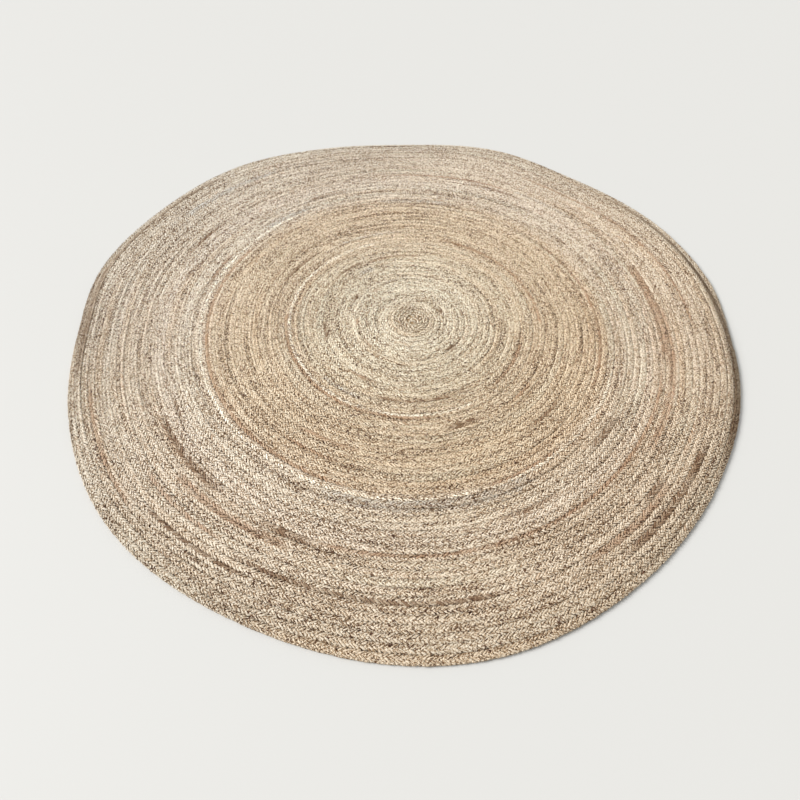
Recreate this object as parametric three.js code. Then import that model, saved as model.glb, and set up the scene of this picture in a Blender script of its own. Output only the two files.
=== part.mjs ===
// A round rug of one long jute braid, coiled flat from the middle outwards and sewn turn to turn.
// Millimetres, +Z up. The floor is z = 0 and the origin is the middle of the rug's box on the floor.
// The rug is one closed body: the turns of the coil are ridges in its top face, its rim wanders in and
// out, and in places the last few turns hump up from the floor and curl down again to the rim.
import * as THREE from 'three';

// Driving dimensions
const TURNS = 52; // turns of the coil between the eye and the rim
const RUG_RADIUS = 1000; // mean radius that the turns are shared over
const THICKNESS = 9.5; // floor to the crest of a braid
const GROOVE_DEPTH = 3; // how far the seam between two turns lies under the crests
const RIM_BULGE = 2.5; // how far the side of the last braid stands out past its seam line
const EYE = { x: 25, y: -14 }; // where the coil starts, from the middle of the outline
const BOX_SHIFT = { x: -1.5, y: 22.9 }; // moves the finished outline's box onto the origin

// How finely the faces are cut
const SEGMENTS = 48; // steps in one turn
const TAPER_STEPS = 2; // steps over which the end of the braid narrows to nothing
const UNDERSIDE_RINGS = [0.97, 0.945, 0.91, 0.85, 0.7, 0.4]; // fractions of the rim's reach

// The coil runs outwards clockwise, and the braid's end is tapered and tucked at this angle.
const END_ANGLE = 355;

// The rim, counter-clockwise from +X. reach: rim radius in mm. curl: height in mm of the hump inside it.
const RIM = [
  { deg: 0, reach: 996, curl: 15 },
  { deg: 15, reach: 1006, curl: 15 },
  { deg: 30, reach: 1006, curl: 11 },
  { deg: 52, reach: 981, curl: 6 },
  { deg: 70, reach: 998, curl: 8 },
  { deg: 92, reach: 961, curl: 3 },
  { deg: 110, reach: 976, curl: 5 },
  { deg: 130, reach: 1012, curl: 9 },
  { deg: 150, reach: 1005, curl: 13 },
  { deg: 170, reach: 1005, curl: 15 },
  { deg: 186, reach: 977, curl: 12 },
  { deg: 205, reach: 986, curl: 6 },
  { deg: 225, reach: 1005, curl: 2 },
  { deg: 250, reach: 1005, curl: 0 },
  { deg: 280, reach: 1026, curl: 0 },
  { deg: 305, reach: 998, curl: 3 },
  { deg: 325, reach: 985, curl: 7 },
  { deg: 342, reach: 992, curl: 12 },
];

// The hump inside the rim starts, crests and ends at these fractions of the reach.
const CURL = { start: 0.74, crest: 0.955, end: 1 };
// The rim's wander fades inwards as this power of the distance from the eye.
const WANDER_POWER = 5;

// A low buckle where two lengths of braid were sewn at different tensions: an arc that stands up a little.
const BUCKLE = { fromDeg: 262, toDeg: 322, rho: 0.635, halfWidth: 0.02, height: 4, endFade: 0.5 };

const smooth = (t) => {
  const u = THREE.MathUtils.clamp(t, 0, 1);
  return u * u * (3 - 2 * u);
};

// Reads a column of the rim table at any angle, along a smooth closed curve through its rows.
function rimValue(column, deg) {
  const angle = THREE.MathUtils.euclideanModulo(deg, 360);
  const count = RIM.length;
  let row = count - 1;
  while (RIM[row].deg > angle) row -= 1;
  const at = (k) => {
    const wrapped = THREE.MathUtils.euclideanModulo(k, count);
    return { deg: RIM[wrapped].deg + 360 * Math.floor(k / count), value: RIM[wrapped][column] };
  };
  const [before, start, end, after] = [at(row - 1), at(row), at(row + 1), at(row + 2)];
  const span = end.deg - start.deg;
  const startSlope = (end.value - before.value) / (end.deg - before.deg);
  const endSlope = (after.value - start.value) / (after.deg - start.deg);
  const t = (angle - start.deg) / span;
  return (
    (1 + 2 * t) * (1 - t) ** 2 * start.value +
    t * (1 - t) ** 2 * span * startSlope +
    t * t * (3 - 2 * t) * end.value +
    t * t * (t - 1) * span * endSlope
  );
}

// How far the cloth stands off the floor: the hump and curl along the rim.
function lift(rho, deg) {
  const height = Math.max(0, rimValue('curl', deg));
  const rise = smooth((rho - CURL.start) / (CURL.crest - CURL.start));
  const fall = smooth((CURL.end - rho) / (CURL.end - CURL.crest));
  return height * Math.min(rise, fall);
}

// Height of the low buckle above the plain top face.
function buckle(rho, deg) {
  const middle = (BUCKLE.fromDeg + BUCKLE.toDeg) / 2;
  const half = (BUCKLE.toDeg - BUCKLE.fromDeg) / 2;
  const along = 1 - Math.abs(deg - middle) / half;
  const across = 1 - Math.abs(rho - BUCKLE.rho) / BUCKLE.halfWidth;
  return BUCKLE.height * smooth(along / BUCKLE.endFade) * smooth(across);
}

// A point of the rug at a fraction of the rim's reach, an angle and a height above the cloth's underside.
function rugPoint(rho, deg, height, outward = 0) {
  const wander = (rimValue('reach', deg) - RUG_RADIUS) * rho ** WANDER_POWER;
  const radius = RUG_RADIUS * rho + wander + outward;
  const angle = THREE.MathUtils.degToRad(deg);
  return new THREE.Vector3(
    radius * Math.cos(angle) + EYE.x * (1 - rho) + BOX_SHIFT.x,
    radius * Math.sin(angle) + EYE.y * (1 - rho) + BOX_SHIFT.y,
    lift(rho, deg) + height,
  );
}

// The coiled braid as one closed mesh. Step k along the coil has a crest point on the middle of the
// braid and a seam point on its outer side; the next turn's crest lies one turn further on.
function rugGeometry() {
  const steps = TURNS * SEGMENTS;
  const seamTop = THICKNESS - GROOVE_DEPTH;
  const points = [];
  const faces = [];
  const add = (point) => points.push(point) - 1;
  const quad = (a, b, c, d) => faces.push([a, b, c], [a, c, d]);
  const degrees = (k) => THREE.MathUtils.euclideanModulo(END_ANGLE - (360 * k) / SEGMENTS, 360);

  // How far out a point of step k lies: across is 0 on the braid's inner side and 1 on its outer side.
  // The last steps narrow onto the seam of the turn before.
  const rhoAt = (k, across) => {
    const width = Math.min(1, (steps - k) / TAPER_STEPS);
    return (k / SEGMENTS - 0.5 + across * width) / TURNS;
  };

  // Top face: a crest point and a seam point for each step, and faces across to the next turn.
  const topPoint = (rho, deg, height) => add(rugPoint(rho, deg, height + buckle(rho, deg)));
  const crest = [];
  const seam = [];
  for (let k = 0; k < steps; k += 1) {
    crest.push(topPoint(rhoAt(k, 0.5), degrees(k), THICKNESS));
    seam.push(topPoint(rhoAt(k, 1), degrees(k), seamTop));
  }
  for (let k = 0; k < steps - 1; k += 1) quad(crest[k], crest[k + 1], seam[k + 1], seam[k]);
  for (let k = 0; k < steps - SEGMENTS - 1; k += 1) {
    quad(seam[k], seam[k + 1], crest[k + SEGMENTS + 1], crest[k + SEGMENTS]);
  }
  // The eye: a fan from the start of the coil round its first turn.
  for (let k = 1; k < SEGMENTS - 1; k += 1) faces.push([crest[0], crest[k + 1], crest[k]]);
  faces.push([crest[0], seam[0], crest[SEGMENTS - 1]]);
  faces.push([seam[0], crest[SEGMENTS], crest[SEGMENTS - 1]]);
  // The tapered end, which closes onto the seam of the turn before it.
  const last = steps - 1;
  const tuck = seam[steps - SEGMENTS];
  faces.push([crest[last], tuck, seam[last]]);
  faces.push([crest[last], seam[steps - SEGMENTS - 1], tuck]);

  // Rim and underside: rings that go round counter-clockwise, from the last turn's seam to the middle.
  const rimTurn = Array.from({ length: SEGMENTS }, (_, i) => steps - 1 - i);
  const ring = (rhoOf, height, outward) =>
    rimTurn.map((k) => add(rugPoint(rhoOf(k), degrees(k), height, outward)));
  const rimRho = (k) => rhoAt(k, 1);
  const rings = [
    rimTurn.map((k) => seam[k]),
    ring(rimRho, seamTop / 2, RIM_BULGE),
    ring(rimRho, 0, -RIM_BULGE),
    ...UNDERSIDE_RINGS.map((rho) => ring(() => rho, 0)),
  ];
  for (let r = 0; r < rings.length - 1; r += 1) {
    for (let i = 0; i < SEGMENTS; i += 1) {
      const next = (i + 1) % SEGMENTS;
      quad(rings[r][i], rings[r + 1][i], rings[r + 1][next], rings[r][next]);
    }
  }
  const middle = add(rugPoint(0, 0, 0));
  const inside = rings[rings.length - 1];
  for (let i = 0; i < SEGMENTS; i += 1) faces.push([middle, inside[(i + 1) % SEGMENTS], inside[i]]);

  const geometry = new THREE.BufferGeometry().setFromPoints(points);
  geometry.setIndex(faces.flat());
  geometry.computeVertexNormals();
  return geometry;
}

function rug() {
  const jute = new THREE.MeshStandardMaterial({ color: 0xc3b098, roughness: 0.95, metalness: 0 });
  const mesh = new THREE.Mesh(rugGeometry(), jute);
  mesh.name = 'rug';
  return mesh;
}

const part = new THREE.Group();
part.add(rug());

export default part;
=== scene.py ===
import math

import bmesh
import bpy
import numpy as np
from mathutils import Matrix, Vector


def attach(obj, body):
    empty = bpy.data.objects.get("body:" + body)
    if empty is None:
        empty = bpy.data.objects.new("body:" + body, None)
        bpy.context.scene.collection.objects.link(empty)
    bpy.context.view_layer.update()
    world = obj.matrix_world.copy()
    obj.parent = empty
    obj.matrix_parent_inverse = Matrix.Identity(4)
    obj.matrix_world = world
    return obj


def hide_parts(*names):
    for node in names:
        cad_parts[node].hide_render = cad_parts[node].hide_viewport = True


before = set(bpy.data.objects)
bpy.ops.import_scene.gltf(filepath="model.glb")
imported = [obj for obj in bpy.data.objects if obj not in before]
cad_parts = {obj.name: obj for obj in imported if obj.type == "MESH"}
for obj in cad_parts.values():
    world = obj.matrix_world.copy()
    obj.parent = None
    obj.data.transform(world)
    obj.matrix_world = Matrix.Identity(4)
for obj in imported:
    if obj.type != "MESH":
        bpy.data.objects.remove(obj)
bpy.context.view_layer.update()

scene = bpy.context.scene

# ---- The core of the braid -----------------------------------------------------------------------------
# What lies inside the braid: the stretches where a strand passes under another, and the sewing thread in
# the seams. It shows only between the strands, and its brown, darker than their fibre, is painted shade
# for the gaps there. It is one closed sheet of cloth on the rug's own form, a little thinner than the
# braid all round.
CORE_INSET = 0.0030          # at the rim
TOP_INSET_MORE = 0.0006      # the top face lies this much deeper, and the underside less deep
SAME_PLACE = 0.00001         # points nearer than this are merged
CORE_PATCHES = 90.0          # patches of paler and darker fibre to a metre
CORE_ROUGHNESS = 0.9
MIX_FIRST, MIX_SECOND, MIX_RESULT = 6, 7, 2      # the sockets of a Mix node that take and give colours


def drawn_in_copy(node, name, inset, more_above):
    """A merged copy of a CAD node with each point moved inwards."""
    shell = bmesh.new()
    shell.from_mesh(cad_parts[node].data)
    bmesh.ops.remove_doubles(shell, verts=shell.verts, dist=SAME_PLACE)
    shell.normal_update()
    for point in shell.verts:
        point.co -= point.normal * (inset + more_above * point.normal.z)
    mesh = bpy.data.meshes.new(name)
    shell.to_mesh(mesh)
    shell.free()
    mesh.materials.clear()
    made = bpy.data.objects.new(name, mesh)
    scene.collection.objects.link(made)
    return made


class Wire:
    """A socket whose arithmetic adds Math nodes to its tree."""

    def __init__(self, nodes, socket):
        self.nodes = nodes
        self.socket = socket

    def math(self, operation, *values):
        sockets = {0: self, **dict(enumerate(values, 1))}
        return self.nodes.wire("ShaderNodeMath", sockets, operation=operation)

    def __add__(self, other):
        return self.math("ADD", other)

    def __sub__(self, other):
        return self.math("SUBTRACT", other)

    def __rsub__(self, other):
        return (self * -1).math("ADD", other)

    def __mul__(self, other):
        return self.math("MULTIPLY", other)

    def __truediv__(self, other):
        return self.math("DIVIDE", other)

    def __rtruediv__(self, other):
        return self.math("POWER", -1) * other

    __radd__ = __add__
    __rmul__ = __mul__

    def above(self, edge, fade):
        """0 below edge, 1 above edge + fade, and a soft step between."""
        return self.nodes.wire(
            "ShaderNodeMapRange",
            {"Value": self, "From Min": edge, "From Max": edge + fade},
            interpolation_type="SMOOTHSTEP",
        )


class Nodes:
    """Adds nodes to a tree: their settings first, then the values or links of their sockets."""

    def __init__(self, tree):
        self.tree = tree

    def node(self, kind, sockets=None, stops=None, **settings):
        made = self.tree.nodes.new(kind)
        for name, value in settings.items():
            setattr(made, name, value)
        if stops:
            ramp = made.color_ramp.elements
            ramp.remove(ramp[-1])
            for place, colour in stops[1:]:
                ramp.new(place).color = colour
            ramp[0].position, ramp[0].color = stops[0]
        for key, value in (sockets or {}).items():
            if isinstance(value, Wire):
                self.tree.links.new(value.socket, made.inputs[key])
            else:
                made.inputs[key].default_value = value
        return made

    def wire(self, kind, sockets=None, output=0, stops=None, **settings):
        return Wire(self, self.node(kind, sockets, stops, **settings).outputs[output])


def srgb(red, green, blue):
    """A colour named in steps of 0 to 255, as the linear colour that a socket takes."""
    parts = [part / 255 for part in (red, green, blue)]
    linear = [part / 12.92 if part <= 0.04045 else ((part + 0.055) / 1.055) ** 2.4 for part in parts]
    return (*linear, 1.0)


def core_material():
    """Plain brown jute between the strands, painted darker than their fibre as painted shade for the gaps.
    """
    material = bpy.data.materials.new("jute_core_painted_shade")
    material.use_nodes = True
    material.node_tree.nodes.clear()
    nodes = Nodes(material.node_tree)
    place = nodes.wire("ShaderNodeTexCoord", {}, "Object")
    values = {"Vector": place, "Scale": CORE_PATCHES, "Detail": 3.0, "Roughness": 0.6}
    mottle = nodes.wire("ShaderNodeTexNoise", values)
    # Both browns are darker than the strands' fibre: painted shade for the gaps between the strands.
    shades = {0: mottle, MIX_FIRST: srgb(148, 120, 86), MIX_SECOND: srgb(182, 154, 116)}
    colour = nodes.wire("ShaderNodeMix", shades, MIX_RESULT, data_type="RGBA")
    look = {"Base Color": colour, "Roughness": CORE_ROUGHNESS}
    surface = nodes.node("ShaderNodeBsdfPrincipled", look)
    out = nodes.node("ShaderNodeOutputMaterial")
    material.node_tree.links.new(surface.outputs[0], out.inputs["Surface"])
    return material


core = drawn_in_copy("rug", "braid_core", CORE_INSET, TOP_INSET_MORE)
core.data.shade_smooth()
core.data.materials.append(core_material())
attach(core, "root")
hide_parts("rug")

# ---- The strands ---------------------------------------------------------------------------------------
# Three strands of loose jute roving, plaited flat. At each crossing an outer strand comes over to the
# middle, from the left and the right in turn, so the braid's face has two rows of slanted stitches. Each
# strand is in an inner and an outer length, and each length is one joined mesh.

# The braid is coiled flat from its eye outwards, clockwise seen from above, and sewn turn to turn. The rim
# wanders in and out, and in places the last turns hump off the floor and curl down to the rim. Lengths are
# in metres, and angles in degrees counter-clockwise from +X. Rho is the share of the way from the eye to
# the rim.
TURNS = 52
RUG_RADIUS = 1.0
BRAID_WIDTH = RUG_RADIUS / TURNS
BRAID_THICKNESS = 0.0095
EYE_X, EYE_Y = 0.025, -0.014         # from the middle of the rim's circle to the eye
BOX_SHIFT_X, BOX_SHIFT_Y = -0.0015, 0.0229      # centres the rug's box on the origin
END_ANGLE = 355              # where the end of the braid lies
TAPER_TURNS = 1 / 24         # the end of the braid narrows to nothing over this
TAPER_LEFT = 0.1             # the stitches stop where this share of the taper is left
WANDER_POWER = 5             # keeps the rim's unevenness to the outer turns
CURL_START, CURL_CREST, CURL_END = 0.74, 0.955, 1.0         # rho at the hump's foot, crest and end
BUCKLE_FROM, BUCKLE_TO, BUCKLE_RHO = 262, 322, 0.635        # the two ends of the low arc, and its rho
BUCKLE_HALF_WIDTH = 0.02     # in rho
BUCKLE_HEIGHT = 0.004
BUCKLE_END_FADE = 0.5        # share of its half length over which it rises

ANGLE, REACH, HUMP = 0, 1, 2
RIM = (  # angle, reach of the rim, height of the hump inside it
    (0, 0.996, 0.015),
    (15, 1.006, 0.015),
    (30, 1.006, 0.011),
    (52, 0.981, 0.006),
    (70, 0.998, 0.008),
    (92, 0.961, 0.003),
    (110, 0.976, 0.005),
    (130, 1.012, 0.009),
    (150, 1.005, 0.013),
    (170, 1.005, 0.015),
    (186, 0.977, 0.012),
    (205, 0.986, 0.006),
    (225, 1.005, 0.002),
    (250, 1.005, 0.000),
    (280, 1.026, 0.000),
    (305, 0.998, 0.003),
    (325, 0.985, 0.007),
    (342, 0.992, 0.012),
)


def smooth(t):
    u = np.clip(t, 0, 1)
    return u * u * (3 - 2 * u)


def around_rim(column, degrees):
    """A column of the rim's table at any angles, along a smooth closed curve through its rows."""
    rows = np.array(RIM)
    angles, values = rows[:, ANGLE], rows[:, column]
    angles = np.concatenate([angles[-2:] - 360, angles, angles[:2] + 360])
    values = np.concatenate([values[-2:], values, values[:2]])
    slopes = np.zeros_like(values)
    slopes[1:-1] = (values[2:] - values[:-2]) / (angles[2:] - angles[:-2])
    turned = np.mod(degrees, 360)
    row = np.searchsorted(angles, turned, side="right") - 1
    span = angles[row + 1] - angles[row]
    t = (turned - angles[row]) / span
    return (
        (1 + 2 * t) * (1 - t) ** 2 * values[row]
        + t * (1 - t) ** 2 * span * slopes[row]
        + t * t * (3 - 2 * t) * values[row + 1]
        + t * t * (t - 1) * span * slopes[row + 1]
    )


def lift(rho, degrees):
    """How far the underside stands off the floor."""
    rise = smooth((rho - CURL_START) / (CURL_CREST - CURL_START))
    fall = smooth((CURL_END - rho) / (CURL_END - CURL_CREST))
    return np.maximum(0, around_rim(HUMP, degrees)) * np.minimum(rise, fall)


def buckle(rho, degrees):
    """The low arc where two lengths of braid were sewn at different tensions."""
    middle, half = (BUCKLE_FROM + BUCKLE_TO) / 2, (BUCKLE_TO - BUCKLE_FROM) / 2
    along = 1 - np.abs(np.mod(degrees, 360) - middle) / half
    across = 1 - np.abs(rho - BUCKLE_RHO) / BUCKLE_HALF_WIDTH
    return BUCKLE_HEIGHT * smooth(along / BUCKLE_END_FADE) * smooth(across)


def rug_point(rho, degrees, height, outward=0.0):
    """Points at shares of the reach, angles and heights above the underside, one row each."""
    rho, degrees = np.broadcast_arrays(np.asarray(rho, float), np.asarray(degrees, float))
    wander = (around_rim(REACH, degrees) - RUG_RADIUS) * np.abs(rho) ** WANDER_POWER
    radius = RUG_RADIUS * rho + wander + outward
    angle = np.radians(degrees)
    return np.stack(
        [
            radius * np.cos(angle) + EYE_X * (1 - rho) + BOX_SHIFT_X,
            radius * np.sin(angle) + EYE_Y * (1 - rho) + BOX_SHIFT_Y,
            lift(rho, degrees) + height,
        ],
        -1,
    )


# The crossings along the braid, and how unevenly it was plaited and sewn.
STRANDS = 3
CROSSING_RUN = 0.0053        # length of braid from one crossing to the next
EYE_TURN = 0.15              # how far round its eye the coil starts
EYE_RHO = 0.10               # inside this the stitches are shorter
EYE_SHORTENED = 0.4          # share by which they are shorter at the eye
ROW_LEAST, ROW_MOST = 0.7, 1.3      # a row is drawn in or spread out no further than these shares
TURN_WANDER = 0.0008         # the turns wander in and out by up to about twice this
TURN_WAVES = (  # share of that, waves round the rug, twist from eye to rim, start
    (0.9, 5, 14, 1),
    (0.8, 9, -11, 0),
    (0.6, 17, 23, 2),
)
WANDER_FROM_EYE, WANDER_TO_RIM = 0.15, 0.1      # rho over which the wander comes and goes
RISES = (  # the braid stands higher and lower by, with a change every so many metres, and the seed
    (0.0006, 0.9, 1),
    (0.0004, 0.16, 2),
)
RISE_FADE_TURNS = 2          # the last turns stand level
THICK_AND_THIN = 0.06        # the roving is thicker and thinner by this share
THICK_EVERY, THICK_SEED = 0.05, 3
STRANDS_APART = 7.3          # sets the strands apart, so that each is thick and thin in its own places
STEPS_TO_A_TURN = 720        # steps that the braid's length is measured in
NEAR = 0.0001                # step in rho and degrees over which a direction is measured
STREAK_FADE = 0.012          # turns over which a streak comes and goes

STREAKS = (  # stretches of darker or paler fibre: rho, from and to angle, tone, number of rows wide
    (0.095, 20, 35, "umber", 2),
    (0.155, 8, 16, "umber", 1),
    (0.165, 210, 225, "rust", 1),
    (0.165, 278, 290, "umber", 1),
    (0.165, 308, 322, "umber", 2),
    (0.170, 45, 57, "umber", 1),
    (0.170, 128, 136, "rust", 1),
    (0.170, 180, 190, "rust", 1),
    (0.200, 150, 158, "umber", 1),
    (0.260, 185, 200, "umber", 1),
    (0.260, 120, 130, "slate", 2),
    (0.270, 230, 250, "rust", 1),
    (0.300, 85, 120, "rust", 1),
    (0.305, 125, 140, "umber", 1),
    (0.320, 255, 300, "umber", 1),
    (0.340, 315, 345, "rust", 1),
    (0.340, 225, 245, "slate", 1),
    (0.370, 110, 300, "cream", 1),
    (0.380, 180, 280, "rust", 1),
    (0.400, 0, 75, "rust", 1),
    (0.420, 95, 125, "slate", 1),
    (0.420, 285, 297, "umber", 2),
    (0.420, 315, 325, "rust", 1),
    (0.425, 140, 160, "umber", 1),
    (0.500, 235, 255, "rust", 1),
    (0.520, 310, 325, "umber", 1),
    (0.550, 235, 250, "rust", 1),
    (0.585, 335, 400, "rust", 1),
    (0.600, 75, 100, "slate", 2),
    (0.608, 150, 255, "rust", 1),
    (0.610, 290, 310, "rust", 1),
    (0.625, 128, 345, "cream", 1),
    # The next slate band, just outside the low arc, is partly grey fibre and partly painted shade on the
    # arc's outer slope.
    (0.643, 252, 300, "slate", 3),
    (0.645, 125, 140, "slate", 2),
    (0.650, 155, 170, "rust", 1),
    (0.670, 318, 328, "umber", 2),
    (0.690, 110, 122, "umber", 1),
    (0.710, 290, 302, "umber", 1),
    (0.720, 208, 215, "umber", 1),
    (0.750, 58, 72, "umber", 1),
    (0.770, 212, 233, "umber", 2),
    (0.772, 245, 254, "umber", 2),
    (0.770, 256, 345, "rust", 1),
    (0.778, 148, 160, "umber", 1),
    (0.770, 60, 95, "rust", 1),
    (0.783, 350, 380, "rust", 3),
    (0.785, 40, 60, "slate", 1),
    (0.800, 226, 250, "rust", 2),
    (0.800, 325, 365, "rust", 2),
    (0.860, 222, 240, "rust", 1),
    (0.872, 245, 285, "umber", 1),
    (0.870, 315, 320, "umber", 2),
    (0.880, 0, 60, "rust", 1),
    (0.890, 300, 320, "rust", 2),
    (0.895, 125, 150, "slate", 2),
    (0.910, 228, 247, "umber", 1),
    (0.925, 306, 330, "umber", 2),
    (0.940, 200, 225, "rust", 1),
)
STREAK_TONES = ("cream", "rust", "umber", "slate")


def braid_middle(turn):
    """Rho and angle of the braid's middle line, a number of turns out from the eye, and its width."""
    width = np.minimum(1, (TURNS - turn) / TAPER_TURNS)
    return (turn - 0.5 + 0.5 * width) / TURNS, END_ANGLE - 360 * turn, width


def streak_share(turn, side, tone):
    """How far each crossing lies in a streak of a tone, from 0 to 1. A turn has two rows."""
    share = np.zeros_like(turn)
    for rho, first, last, streak_tone, rows in STREAKS:
        if streak_tone != tone:
            continue
        angle_turn = (END_ANGLE - (first + last) / 2) / 360
        half = (last - first) / 2 / 360
        inmost = math.floor(2 * (rho * TURNS - angle_turn) - (rows - 1) / 2)
        for row in range(inmost, inmost + rows):
            middle = (row + row % 2) / 2 + angle_turn
            inside = smooth((half - np.abs(turn - middle)) / STREAK_FADE + 0.5)
            share = np.maximum(share, inside * (side == 1 - 2 * (row % 2)))
    return share


def uneven(places, spacing, seed):
    """A smooth random line, between -1 and 1, with a new value at each spacing."""
    knots = np.random.default_rng(seed).uniform(-1, 1, int(places.max() / spacing) + 2)
    low = np.floor(places / spacing).astype(int)
    part = smooth(places / spacing - low)
    return knots[low] * (1 - part) + knots[low + 1] * part


def sideways(rho, degrees):
    """How far the turns wander in and out together between the eye and the rim."""
    angle = np.radians(degrees)
    waves = 0
    for part, count, twist, start in TURN_WAVES:
        waves = waves + part * np.sin(count * angle + twist * rho + start)
    return TURN_WANDER * waves * smooth(rho / WANDER_FROM_EYE) * smooth((1 - rho) / WANDER_TO_RIM)


def on_braid(rho, degrees):
    """Points on the underside of the braid where it was sewn, with its wander and its low arc."""
    return rug_point(rho, degrees, buckle(rho, degrees), sideways(rho, degrees))


def unit(rows):
    return rows / np.linalg.norm(rows, axis=-1, keepdims=True)


def mesh_object(name, points, faces=()):
    mesh = bpy.data.meshes.new(name)
    mesh.from_pydata([tuple(p) for p in points], [], [tuple(f) for f in faces])
    made = bpy.data.objects.new(name, mesh)
    scene.collection.objects.link(made)
    return made


def crossing_line():
    """One point for each crossing, on the braid's underside, with the directions and facts it needs."""
    turns = np.linspace(EYE_TURN, TURNS - TAPER_LEFT * TAPER_TURNS, TURNS * STEPS_TO_A_TURN)
    rho, degrees, _ = braid_middle(turns)
    steps = np.linalg.norm(np.diff(rug_point(rho, degrees, 0), axis=0), axis=1)
    lengths = np.concatenate([[0], np.cumsum(steps)])
    run = np.arange(0, lengths[-1], CROSSING_RUN)
    turn = np.interp(run, lengths, turns)
    rho, degrees, width = braid_middle(turn)
    outward = on_braid(rho + NEAR, degrees) - on_braid(rho - NEAR, degrees)
    ahead = on_braid(rho, degrees - NEAR) - on_braid(rho, degrees + NEAR)
    row = np.linalg.norm(outward, axis=1) / (2 * NEAR * TURNS * BRAID_WIDTH)
    up = unit(np.cross(ahead, outward))
    rise = sum(height * uneven(run, every, seed) for height, every, seed in RISES)
    rise = rise * smooth((TURNS - turn) / RISE_FADE_TURNS)
    line = mesh_object("crossing_line", on_braid(rho, degrees) + up * rise[:, None])
    count = np.arange(len(run))
    side = 1 - 2 * (count % 2)
    own_run = run + STRANDS_APART * (count % STRANDS)
    vectors = {"forward": unit(ahead), "up": up}
    facts = {
        "row_width": np.clip(row, ROW_LEAST, ROW_MOST) * width,
        "run": run,
        "rho": rho,
        "shortened": 1 - EYE_SHORTENED * (1 - smooth(rho / EYE_RHO)),
        "thickness": 1 + THICK_AND_THIN * uneven(own_run, THICK_EVERY, THICK_SEED),
        "slope": np.maximum(0, np.sum(up * unit(outward * (1, 1, 0)), axis=1)),
        **{tone: streak_share(turn, side, tone) for tone in STREAK_TONES},
    }
    for name, rows in vectors.items():
        line.data.attributes.new(name, "FLOAT_VECTOR", "POINT").data.foreach_set("vector", rows.ravel())
    for name, values in facts.items():
        line.data.attributes.new(name, "FLOAT", "POINT").data.foreach_set("value", values)
    return line, turn


crossings, crossing_turns = crossing_line()

# One stitch: where a strand comes over. The roving swells between the two crossings that pinch it.
TIP_HEIGHT = 0.25            # of a stitch's two ends, as a share of its height
FOOT_CELL = (0.02, 0.14)     # from and to in the stitch's texture cell, of the faces turned down
FACE_CELL = (0.18, 0.98)     # and of the other faces
CELL_HALF = 0.47             # half the cell's length that a stitch fills


def stitch_shape(name, sections, profile):
    """A closed stitch from -1 to 1 along X and Y and from 0 to 1 in Z, with a cell for its own texture."""
    shape = bmesh.new()
    tips = [shape.verts.new((end, 0, TIP_HEIGHT)) for end in (-1, 1)]
    rings = [
        [shape.verts.new((along, width * y, height * z)) for y, z in profile]
        for along, width, height in sections
    ]
    for corner in range(len(profile)):
        after = (corner + 1) % len(profile)
        shape.faces.new((tips[0], rings[0][after], rings[0][corner]))
        shape.faces.new((tips[1], rings[-1][corner], rings[-1][after]))
        for first, second in zip(rings, rings[1:]):
            shape.faces.new((first[corner], first[after], second[after], second[corner]))
    bmesh.ops.recalc_face_normals(shape, faces=shape.faces)
    grain = shape.verts.layers.float_vector.new("grain")
    cell = shape.loops.layers.uv.new("OFBake")
    for point in shape.verts:
        point[grain] = point.co
    for face in shape.faces:
        face.smooth = True
        turned_down = face.normal.z < -0.5
        low, high = FOOT_CELL if turned_down else FACE_CELL
        for corner in face.loops:
            x, y = corner.vert.co.x, corner.vert.co.y
            corner[cell].uv = (0.5 + CELL_HALF * x, low + (high - low) * (0.5 + 0.5 * y))
    mesh = bpy.data.meshes.new(name)
    shape.to_mesh(mesh)
    shape.free()
    made = bpy.data.objects.new(name, mesh)
    scene.collection.objects.link(made)
    return made


top_stitch = stitch_shape(
    "top_stitch",
    sections=((-0.7, 0.85, 0.85), (0.0, 1.0, 1.0), (0.7, 0.85, 0.85)),
    profile=((-1, 0), (-0.3, 1), (0.3, 1), (1, 0)),
)
under_stitch = stitch_shape("under_stitch", sections=((0, 1, 1),), profile=((-1, 0), (0, 1), (1, 0)))

# How the stitches lie on the braid's face, on its underside, and on the outer side of its last turn.
STITCH_LENGTH = 0.0220
STITCH_WIDTH = 0.0080
STITCH_HEIGHT = 0.0021
STITCH_BASE = 0.0060         # from the braid's underside to the foot of a stitch on its face
ROW_OFFSET = 0.0048          # from the braid's middle line to the middle of a row
SLANT = math.radians(30)
SEAM_TILT = math.radians(3)  # each row leans down to its seam
UNDER_HEIGHT = 0.0018
UNDER_BASE = 0.0021          # from the braid's underside up to the foot of a stitch there
EDGE_LENGTH = 0.0120
EDGE_WIDTH = 0.0078
EDGE_HEIGHT = 0.0034
EDGE_OUT = 0.0082            # from the middle of the last turn to the foot of a stitch on its side
PRESSED_AT = 0.0003          # no stitch reaches lower than this
ROUGH_SCALE = 260            # lumps in the roving: how many to a metre, and how far they stand out
ROUGH_HEIGHT = 0.0011
TOP_CELLS = (0.0, 0.74)      # from and to in the strand's texture: the face's stitches
UNDER_CELLS = (0.75, 0.96)
EDGE_CELLS = (0.965, 1.0)
CHANCES = {  # how stitches differ: the least, the most, and a number that sets the draws apart
    "fleck": (0.0, 1.0, 1),
    "slant": (-0.09, 0.09, 2),
    "raised": (-0.0001, 0.0002, 3),
    "moved": (-0.0007, 0.0007, 4),
    "length": (0.90, 1.10, 5),
    "width": (0.94, 1.06, 6),
    "height": (0.90, 1.08, 7),
    "slid": (-0.0010, 0.0010, 8),
}


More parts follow.
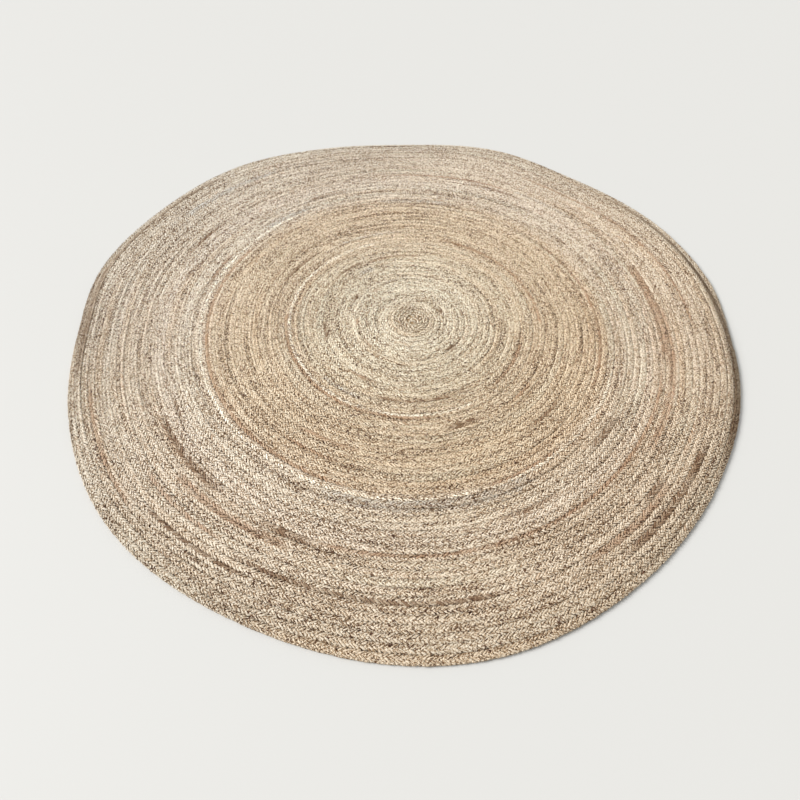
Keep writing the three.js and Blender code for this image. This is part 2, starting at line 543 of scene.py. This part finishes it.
def strand_tree():
    """Geometry Nodes that lay the stitches of one strand along the points of the crossing line."""
    tree = bpy.data.node_groups.new("strand_stitches", "GeometryNodeTree")
    sockets = (
        ("Crossings", "NodeSocketGeometry"),
        ("Strand", "NodeSocketInt"),
        ("First crossing", "NodeSocketInt"),
        ("Last crossing", "NodeSocketInt"),
        ("Rim crossing", "NodeSocketInt"),
        ("Stitch length", "NodeSocketFloat"),
        ("Stitch width", "NodeSocketFloat"),
        ("Stitch height", "NodeSocketFloat"),
        ("Slant", "NodeSocketFloat"),
        ("Row offset", "NodeSocketFloat"),
        ("Top stitch", "NodeSocketObject"),
        ("Under stitch", "NodeSocketObject"),
        ("Roving", "NodeSocketMaterial"),
        ("Seed", "NodeSocketInt"),
    )
    for name, kind in sockets:
        tree.interface.new_socket(name, in_out="INPUT", socket_type=kind)
    tree.interface.new_socket("Strand mesh", in_out="OUTPUT", socket_type="NodeSocketGeometry")
    nodes = Nodes(tree)
    start = nodes.node("NodeGroupInput")
    given = {name: Wire(nodes, start.outputs[name]) for name, _ in sockets}

    def vector(operation, *values, output=0, **named_values):
        values = {**dict(enumerate(values)), **named_values}
        return nodes.wire("ShaderNodeVectorMath", values, output, operation=operation)

    def named(name, data_type="FLOAT"):
        return nodes.wire("GeometryNodeInputNamedAttribute", {"Name": name}, data_type=data_type)

    def chance(name):
        """A value for each stitch, from socket 2 to socket 3, with its seed in socket 8."""
        low, high, draw = CHANCES[name]
        values = {2: low, 3: high, 8: given["Seed"] + draw}
        return nodes.wire("FunctionNodeRandomValue", values, 1, data_type="FLOAT")

    def stored(geometry, name, value, data_type="FLOAT", domain="POINT"):
        values = {"Geometry": geometry, "Name": name, "Value": value}
        return nodes.wire(
            "GeometryNodeStoreNamedAttribute", values, data_type=data_type, domain=domain
        )

    def chosen(geometry, selection):
        return nodes.wire("GeometryNodeSeparateGeometry", {"Geometry": geometry, "Selection": selection})

    # The points of this strand, each with the side that it comes over from: 1 outer, -1 inner.
    index = nodes.wire("GeometryNodeInputIndex")
    points = stored(given["Crossings"], "side", 1 - index.math("FLOORED_MODULO", 2) * 2)
    points = stored(points, "at_rim", index.math("GREATER_THAN", given["Rim crossing"]))
    points = stored(points, "strand", given["Strand"])
    off_strand = (index.math("FLOORED_MODULO", STRANDS) - given["Strand"]).math("ABSOLUTE")
    here = off_strand.math("LESS_THAN", 0.5) * index.math("GREATER_THAN", given["First crossing"] - 0.5)
    points = chosen(points, here * index.math("LESS_THAN", given["Last crossing"] - 0.5))
    points = stored(points, "fleck", chance("fleck"))

    forward, up = named("forward", "FLOAT_VECTOR"), named("up", "FLOAT_VECTOR")
    side, row_width, thickness = named("side"), named("row_width"), named("thickness")
    outward = vector("SCALE", vector("CROSS_PRODUCT", up, forward), Scale=side)

    def laid(points, shape, tilt, base, shift, size, cells):
        """A layer of stitches. Tilt turns a stitch from face up, through outwards, to face down."""
        face = vector(
            "ADD",
            vector("SCALE", up, Scale=math.cos(tilt)),
            vector("SCALE", outward, Scale=math.sin(tilt)),
        )
        across = vector(
            "SUBTRACT",
            vector("SCALE", outward, Scale=math.cos(tilt)),
            vector("SCALE", up, Scale=math.sin(tilt)),
        )
        slant = given["Slant"] + chance("slant")
        along = vector(
            "SUBTRACT",
            vector("SCALE", forward, Scale=slant.math("COSINE")),
            vector("SCALE", across, Scale=slant.math("SINE")),
        )
        turn = nodes.wire(
            "FunctionNodeAxesToRotation", {0: face, 1: along}, primary_axis="Z", secondary_axis="X"
        )
        raised = vector("SCALE", up, Scale=chance("raised") + base)
        moved = vector("SCALE", outward, Scale=row_width * shift + chance("moved"))
        slid = vector("SCALE", forward, Scale=chance("slid"))

        # Each stitch of the layer has a cell of its own in the strand's texture.
        count = nodes.wire("GeometryNodeAttributeDomainSize", {"Geometry": points}, component="MESH")
        columns = (count.math("SQRT") + 1).math("CEIL")
        place = nodes.wire("GeometryNodeInputIndex")
        cell = {0: place.math("FLOORED_MODULO", columns), 1: (place / columns).math("FLOOR")}
        points = stored(points, "cell", nodes.wire("ShaderNodeCombineXYZ", cell), "FLOAT_VECTOR")

        offset = vector("ADD", vector("ADD", raised, moved), slid)
        points = nodes.wire("GeometryNodeSetPosition", {"Geometry": points, "Offset": offset})
        length, width, height = size

        # The shape of a stitch is 2 long and 2 wide, so it takes half its length and half its width.
        scale = {
            0: row_width * named("shortened") * length * 0.5 * chance("length"),
            1: row_width * width * 0.5 * thickness * chance("width"),
            2: thickness * height * chance("height"),
        }
        instances = {
            "Points": points,
            "Instance": nodes.wire("GeometryNodeObjectInfo", {"Object": shape}, "Geometry"),
            "Rotation": turn,
            "Scale": nodes.wire("ShaderNodeCombineXYZ", scale),
        }
        layer = nodes.wire("GeometryNodeInstanceOnPoints", instances)
        layer = nodes.wire("GeometryNodeRealizeInstances", {"Geometry": layer})

        # The lumps of the roving, and the floor that the lowest stitches are pressed on.
        lumps = nodes.wire("ShaderNodeTexNoise", {"Scale": ROUGH_SCALE, "Detail": 1.0}, "Color")
        lumps = vector("SCALE", vector("SUBTRACT", lumps, (0.5, 0.5, 0.5)), Scale=ROUGH_HEIGHT)
        layer = nodes.wire("GeometryNodeSetPosition", {"Geometry": layer, "Offset": lumps})
        place = nodes.node("ShaderNodeSeparateXYZ", {0: nodes.wire("GeometryNodeInputPosition")})
        x, y, z = (Wire(nodes, socket) for socket in place.outputs)
        place = nodes.wire("ShaderNodeCombineXYZ", {0: x, 1: y, 2: z.math("MAXIMUM", PRESSED_AT)})
        layer = nodes.wire("GeometryNodeSetPosition", {"Geometry": layer, "Position": place})

        low, high = cells
        within = vector("ADD", named("OFBake", "FLOAT_VECTOR"), named("cell", "FLOAT_VECTOR"))
        share = 1 / columns
        fit = nodes.wire("ShaderNodeCombineXYZ", {0: share, 1: share * (high - low)})
        layout = vector("MULTIPLY_ADD", within, fit, (0.0, low, 0.0))
        return stored(layer, "OFBake", layout, "FLOAT2", "CORNER")

    size = given["Stitch length"], given["Stitch width"], given["Stitch height"]
    top = laid(
        points, given["Top stitch"], SEAM_TILT, STITCH_BASE, given["Row offset"], size, TOP_CELLS
    )
    size = given["Stitch length"], given["Stitch width"], UNDER_HEIGHT
    tilt = math.pi - SEAM_TILT / 2
    under = laid(
        points, given["Under stitch"], tilt, UNDER_BASE, given["Row offset"], size, UNDER_CELLS
    )
    rim_points = chosen(points, named("at_rim") * side.math("GREATER_THAN", 0.0))
    size = EDGE_LENGTH, EDGE_WIDTH, EDGE_HEIGHT
    edge = laid(
        rim_points, given["Top stitch"], math.pi / 2, BRAID_THICKNESS / 2, EDGE_OUT, size, EDGE_CELLS
    )
    joined = nodes.node("GeometryNodeJoinGeometry")
    for layer in (edge, under, top):
        tree.links.new(layer.socket, joined.inputs[0])
    finish = {"Geometry": Wire(nodes, joined.outputs[0]), "Material": given["Roving"]}
    finished = nodes.wire("GeometryNodeSetMaterial", finish)
    end = nodes.node("NodeGroupOutput")
    tree.links.new(finished.socket, end.inputs[0])
    return tree


def plain_mesh(made, tree, name, values):
    """What a Geometry Nodes tree makes from an object, as a new object with a plain mesh."""
    modifier = made.modifiers.new(tree.name, "NODES")
    modifier.node_group = tree
    for item in tree.interface.items_tree:
        if item.in_out == "INPUT" and item.name in values:
            modifier[item.identifier] = values[item.name]
    made.update_tag()
    ready = made.evaluated_get(bpy.context.evaluated_depsgraph_get())
    mesh = bpy.data.meshes.new_from_object(ready)
    mesh.name = name
    made.modifiers.remove(modifier)
    piece = bpy.data.objects.new(name, mesh)
    scene.collection.objects.link(piece)
    return piece


# Tones of the braid from the eye to the rim: the fibre was used up bale by bale.
RING_TONES = (
    (0.00, srgb(208, 191, 165)),
    (0.14, srgb(215, 200, 174)),
    (0.30, srgb(207, 189, 161)),
    (0.36, srgb(205, 184, 155)),
    (0.50, srgb(204, 182, 152)),
    (0.60, srgb(205, 183, 154)),
    (0.62, srgb(205, 186, 161)),
    (0.68, srgb(208, 191, 167)),
    (0.74, srgb(210, 192, 169)),
    (0.78, srgb(204, 185, 160)),
    (0.86, srgb(205, 187, 163)),
    (0.93, srgb(199, 181, 157)),
    (1.00, srgb(191, 175, 152)),
)
STREAK_LOOKS = {  # fibre, what sets some of it apart, the share that shows everywhere, and more in some
    "cream": (srgb(238, 224, 200), "fleck", 0.4, 0.4),
    "rust": (srgb(150, 106, 72), "some", 0.15, 0.5),
    "umber": (srgb(96, 64, 40), "some", 0.1, 0.85),
    "slate": (srgb(172, 164, 152), "fleck", 0.2, 0.3),
}
WARM_FIBRE, WARM_FROM, WARM_SHARE = srgb(206, 176, 140), 0.50, 0.3
COOL_FIBRE, COOL_FROM, COOL_SHARE = srgb(200, 190, 166), 0.52, 0.4
BROWN_FIBRE, BROWN_FROM, BROWN_SHARE = srgb(158, 120, 84), 1.16, 0.6
SOFT_EDGE = 0.2              # over which these three come in
# Painted shade: the fibre is painted darker and browner where the rim slopes down outwards.
SLOPE_SHADE_FIBRE, SLOPE_SHADE_FROM, SLOPE_SHADE_FADE = srgb(100, 76, 50), 0.22, 0.12
SLOPE_SHADE_LEAST, SLOPE_SHADE_MORE = 0.35, 0.5
BARK, BARK_SIZE, BARK_FROM, BARK_FADE = srgb(84, 54, 34), 0.9, 0.675, 0.03
BARK_BY_ROW = 0.5            # how much fewer bits of bark the paler stretches have

# How many times to a metre the tone changes, and how much each change makes paler or darker.
BRAID_DRIFT, BRAID_CONTRAST = 1.6, 0.7
ROW_DRIFT, ROW_CONTRAST = 3.0, 1.3
STRAND_DRIFT, STRAND_CONTRAST = 6.0, 0.5
HUE_DRIFT = 0.9
FLECK_CONTRAST = 0.30        # from one stitch to the next
FIBRE_CONTRAST = 9.0         # from one streak of fibre to the next in a stitch
ROW_SHIFT, STRAND_SHIFT, DRIFT_SHIFT = 9.1, 13.7, 30.0      # set the drifts apart in their noise
FIBRE_STRETCH = (2.1, 1.2, 0.8)      # streaks across the length, width and height of a stitch
FIBRE_SCALE, FIBRE_ROUGHNESS = 1.2, 0.7
SOME_BY_FLECK, SOME_BY_FIBRE, SOME_FROM, SOME_FADE = 0.3, 1.8, 1.06, 0.12
FLECK_SHIFT, RUN_SHIFT, OWN_SHIFT = 91.0, 17.0, 5.0         # set the stitches apart in theirs
DARKEST, MIDDLE, PALEST, PALE_FADE = 0.08, 1.025, 1.45, 0.5     # the last softens the step to the palest
RED_POWER, BLUE_POWER = 0.74, 1.35   # how much less red, and more blue, follow the brightness than green
PAINTED_LIGHT_GRADIENT = (-0.13, 0.11, 0.0)   # painted light: how much paler the rug is painted for each metre along +X, +Y and +Z
LEAST_ROUGH, ROUGHER = 0.62, 0.25    # the roughness, and how much rougher the palest fibre is


def roving_material():
    """Undyed jute: cream to tan fibre whose tone drifts along each strand, with brown root ends."""
    material = bpy.data.materials.new("jute_roving")
    material.use_nodes = True
    material.node_tree.nodes.clear()
    nodes = Nodes(material.node_tree)

    def fact(name):
        return nodes.wire("ShaderNodeAttribute", {}, "Fac", attribute_name=name)

    def mixed(share, first, second, blend="MIX"):
        values = {0: share, MIX_FIRST: first, MIX_SECOND: second}
        return nodes.wire("ShaderNodeMix", values, MIX_RESULT, data_type="RGBA", blend_type=blend)

    def noise(place, scale, detail=2.0, roughness=0.5):
        values = {"Vector": place, "Scale": scale, "Detail": detail, "Roughness": roughness}
        return nodes.wire("ShaderNodeTexNoise", values)

    def drift(per_metre, layer, shift=0.0, detail=3.0, roughness=0.6):
        """A value around a half that changes along the braid."""
        place = nodes.wire("ShaderNodeCombineXYZ", {0: run, 1: shift, 2: layer * DRIFT_SHIFT})
        return noise(place, per_metre, detail, roughness)

    run, rho, fleck, strand, side = (fact(name) for name in ("run", "rho", "fleck", "strand", "side"))
    by_braid = drift(BRAID_DRIFT, 0)
    by_row = drift(ROW_DRIFT, 1, side * ROW_SHIFT)
    by_strand = drift(STRAND_DRIFT, 2, strand * STRAND_SHIFT)
    warm = drift(HUE_DRIFT, 3, detail=2.0, roughness=0.5)

    # The bale's own tone, warmer and cooler by turns, with browner stretches of strand.
    ring = nodes.wire("ShaderNodeValToRGB", {0: rho}, stops=RING_TONES)
    colour = mixed(warm.above(WARM_FROM, SOFT_EDGE) * WARM_SHARE, ring, WARM_FIBRE)
    colour = mixed((1 - warm).above(COOL_FROM, SOFT_EDGE) * COOL_SHARE, colour, COOL_FIBRE)
    brown = (by_strand + by_row).above(BROWN_FROM, SOFT_EDGE)
    colour = mixed(brown * BROWN_SHARE, colour, BROWN_FIBRE)

    # Loose fibres: streaks along each stitch, paler and darker than the roving.
    grain = nodes.wire("ShaderNodeAttribute", {}, "Vector", attribute_name="grain")
    stretched = nodes.wire("ShaderNodeVectorMath", {0: grain, 1: FIBRE_STRETCH}, operation="MULTIPLY")
    own_place = nodes.wire(
        "ShaderNodeCombineXYZ", {0: fleck * FLECK_SHIFT, 1: run * RUN_SHIFT, 2: strand * OWN_SHIFT}
    )
    fibre_place = nodes.wire("ShaderNodeVectorMath", {0: stretched, 1: own_place}, operation="ADD")
    fibre = noise(fibre_place, FIBRE_SCALE, roughness=FIBRE_ROUGHNESS)

    # The streaks, and the painted shade where the rim slopes down outwards, show in some fibres more than
    # in others.
    some = (fleck * SOME_BY_FLECK + fibre * SOME_BY_FIBRE).above(SOME_FROM, SOME_FADE)
    for streak_tone, (streak_fibre, apart, least, more) in STREAK_LOOKS.items():
        by = fleck if apart == "fleck" else some
        colour = mixed(fact(streak_tone) * (by * more + least), colour, streak_fibre)
    # Painted shade on the rim's outward slopes: the steeper the slope, the darker and browner the fibre.
    slope = fact("slope").above(SLOPE_SHADE_FROM, SLOPE_SHADE_FADE)
    colour = mixed(slope * (some * SLOPE_SHADE_MORE + SLOPE_SHADE_LEAST), colour, SLOPE_SHADE_FIBRE)

    # Root ends: short dark bits of bark left in the fibre, in some stretches more than in others.
    bark = noise(fibre_place, BARK_SIZE, detail=0.0) - (by_row - 0.5) * BARK_BY_ROW
    colour = mixed(bark.above(BARK_FROM, BARK_FADE), colour, BARK)

    # Paler and darker by braid, row, strand, stitch and fibre, and painted light: a little paler towards
    # the far left.
    tone = (by_braid - 0.5) * BRAID_CONTRAST + (by_row - 0.5) * ROW_CONTRAST
    tone = tone + (by_strand - 0.5) * STRAND_CONTRAST
    tone = tone + (fleck - 0.5) * FLECK_CONTRAST + (fibre - 0.5) * FIBRE_CONTRAST + MIDDLE
    brightness = tone.math("MAXIMUM", DARKEST).math("SMOOTH_MIN", PALEST, PALE_FADE)
    # Painted light: the rug is painted paler towards the far left, as if lit more there.
    place = nodes.wire("ShaderNodeTexCoord", {}, "Object")
    painted_light = nodes.wire("ShaderNodeVectorMath", {0: place, 1: PAINTED_LIGHT_GRADIENT}, "Value", operation="DOT_PRODUCT")
    brightness = brightness * (painted_light + 1)

    # Where the fibre is darker it is browner too, and where it is paler it is closer to white.
    red, blue = brightness.math("POWER", RED_POWER), brightness.math("POWER", BLUE_POWER)
    shade = nodes.wire("ShaderNodeCombineColor", {0: red, 1: brightness, 2: blue})
    colour = mixed(1.0, colour, shade, "MULTIPLY")
    bump = nodes.wire("ShaderNodeBump", {"Strength": 0.3, "Distance": 0.0012, "Height": fibre})
    look = {
        "Base Color": colour,
        "Roughness": fibre * ROUGHER + LEAST_ROUGH,
        "Normal": bump,
        "Specular IOR Level": 0.28,
    }
    surface = nodes.node("ShaderNodeBsdfPrincipled", look)
    out = nodes.node("ShaderNodeOutputMaterial")
    material.node_tree.links.new(surface.outputs[0], out.inputs["Surface"])
    return material


INNER_SHARE = 0.5            # share of the crossings in the inner lengths
FIRST_SEED, SEEDS_APART = 100, 10
roving = roving_material()
stitches = strand_tree()
half_way = int(len(crossing_turns) * INNER_SHARE)
lengths = {"inner": (0, half_way), "outer": (half_way, len(crossing_turns))}
for length_name, (first_crossing, last_crossing) in lengths.items():
    for strand_number in range(STRANDS):
        values = {
            "Strand": strand_number,
            "First crossing": first_crossing,
            "Last crossing": last_crossing,
            "Rim crossing": int(np.searchsorted(crossing_turns, TURNS - 1)),
            "Stitch length": STITCH_LENGTH,
            "Stitch width": STITCH_WIDTH,
            "Stitch height": STITCH_HEIGHT,
            "Slant": SLANT,
            "Row offset": ROW_OFFSET,
            "Top stitch": top_stitch,
            "Under stitch": under_stitch,
            "Roving": roving,
            "Seed": FIRST_SEED + SEEDS_APART * strand_number,
        }
        piece = plain_mesh(crossings, stitches, f"strand_{strand_number + 1}_{length_name}", values)
        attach(piece, "root")
        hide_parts("rug")
for helper in (crossings, top_stitch, under_stitch):
    bpy.data.objects.remove(helper)

# ---- The floor, light and camera -----------------------------------------------------------------------
# A plain pale floor, a broad soft lamp on the left and an even fill from all round. The camera looks down
# at the rug from a person's height, over a point a third of a metre off its near edge.
FLOOR_HALF = 12.0
FLOOR_COLOUR = srgb(204, 203, 200)
FLOOR_ROUGHNESS = 0.7
corners = [(x * FLOOR_HALF, y * FLOOR_HALF, 0.0) for x, y in ((-1, -1), (1, -1), (1, 1), (-1, 1))]
floor = mesh_object("floor", corners, faces=[(0, 1, 2, 3)])
floor_paint = bpy.data.materials.new("floor_paint")
floor_paint.use_nodes = True
paint = floor_paint.node_tree.nodes["Principled BSDF"]
paint.inputs["Base Color"].default_value = FLOOR_COLOUR
paint.inputs["Roughness"].default_value = FLOOR_ROUGHNESS
floor.data.materials.append(floor_paint)

LAMP_FROM = Vector((-16.5, 0.8, 10.9))
LAMP_STRENGTH = 4.3
LAMP_WIDTH = math.radians(30)          # how wide the lamp looks from the rug
lamp_data = bpy.data.lights.new("soft_lamp", "SUN")
lamp_data.energy = LAMP_STRENGTH
lamp_data.angle = LAMP_WIDTH
lamp = bpy.data.objects.new("soft_lamp", lamp_data)
lamp.matrix_world = LAMP_FROM.to_track_quat("Z", "Y").to_matrix().to_4x4()
scene.collection.objects.link(lamp)

FILL_COLOUR = (0.98, 0.985, 0.97, 1.0)
FILL_STRENGTH = 0.62
world = bpy.data.worlds.new("studio")
world.use_nodes = True
fill = world.node_tree.nodes["Background"]
fill.inputs["Color"].default_value = FILL_COLOUR
fill.inputs["Strength"].default_value = FILL_STRENGTH
scene.world = world
scene.view_settings.view_transform = "Standard"

CAMERA_PLACE = (-0.0102, -1.3368, 1.3725)
CAMERA_FOCAL = 27.889
CAMERA_SENSOR = 36
CAMERA_TILT = math.radians(37.20)      # from straight down
CAMERA_ROLL = math.radians(1.77)
camera_data = bpy.data.cameras.new("camera")
camera_data.sensor_width = CAMERA_SENSOR
camera_data.lens = CAMERA_FOCAL
camera = bpy.data.objects.new("camera", camera_data)
turned = Matrix.Rotation(CAMERA_TILT, 4, "X") @ Matrix.Rotation(CAMERA_ROLL, 4, "Z")
camera.matrix_world = Matrix.Translation(CAMERA_PLACE) @ turned
scene.collection.objects.link(camera)
scene.camera = camera
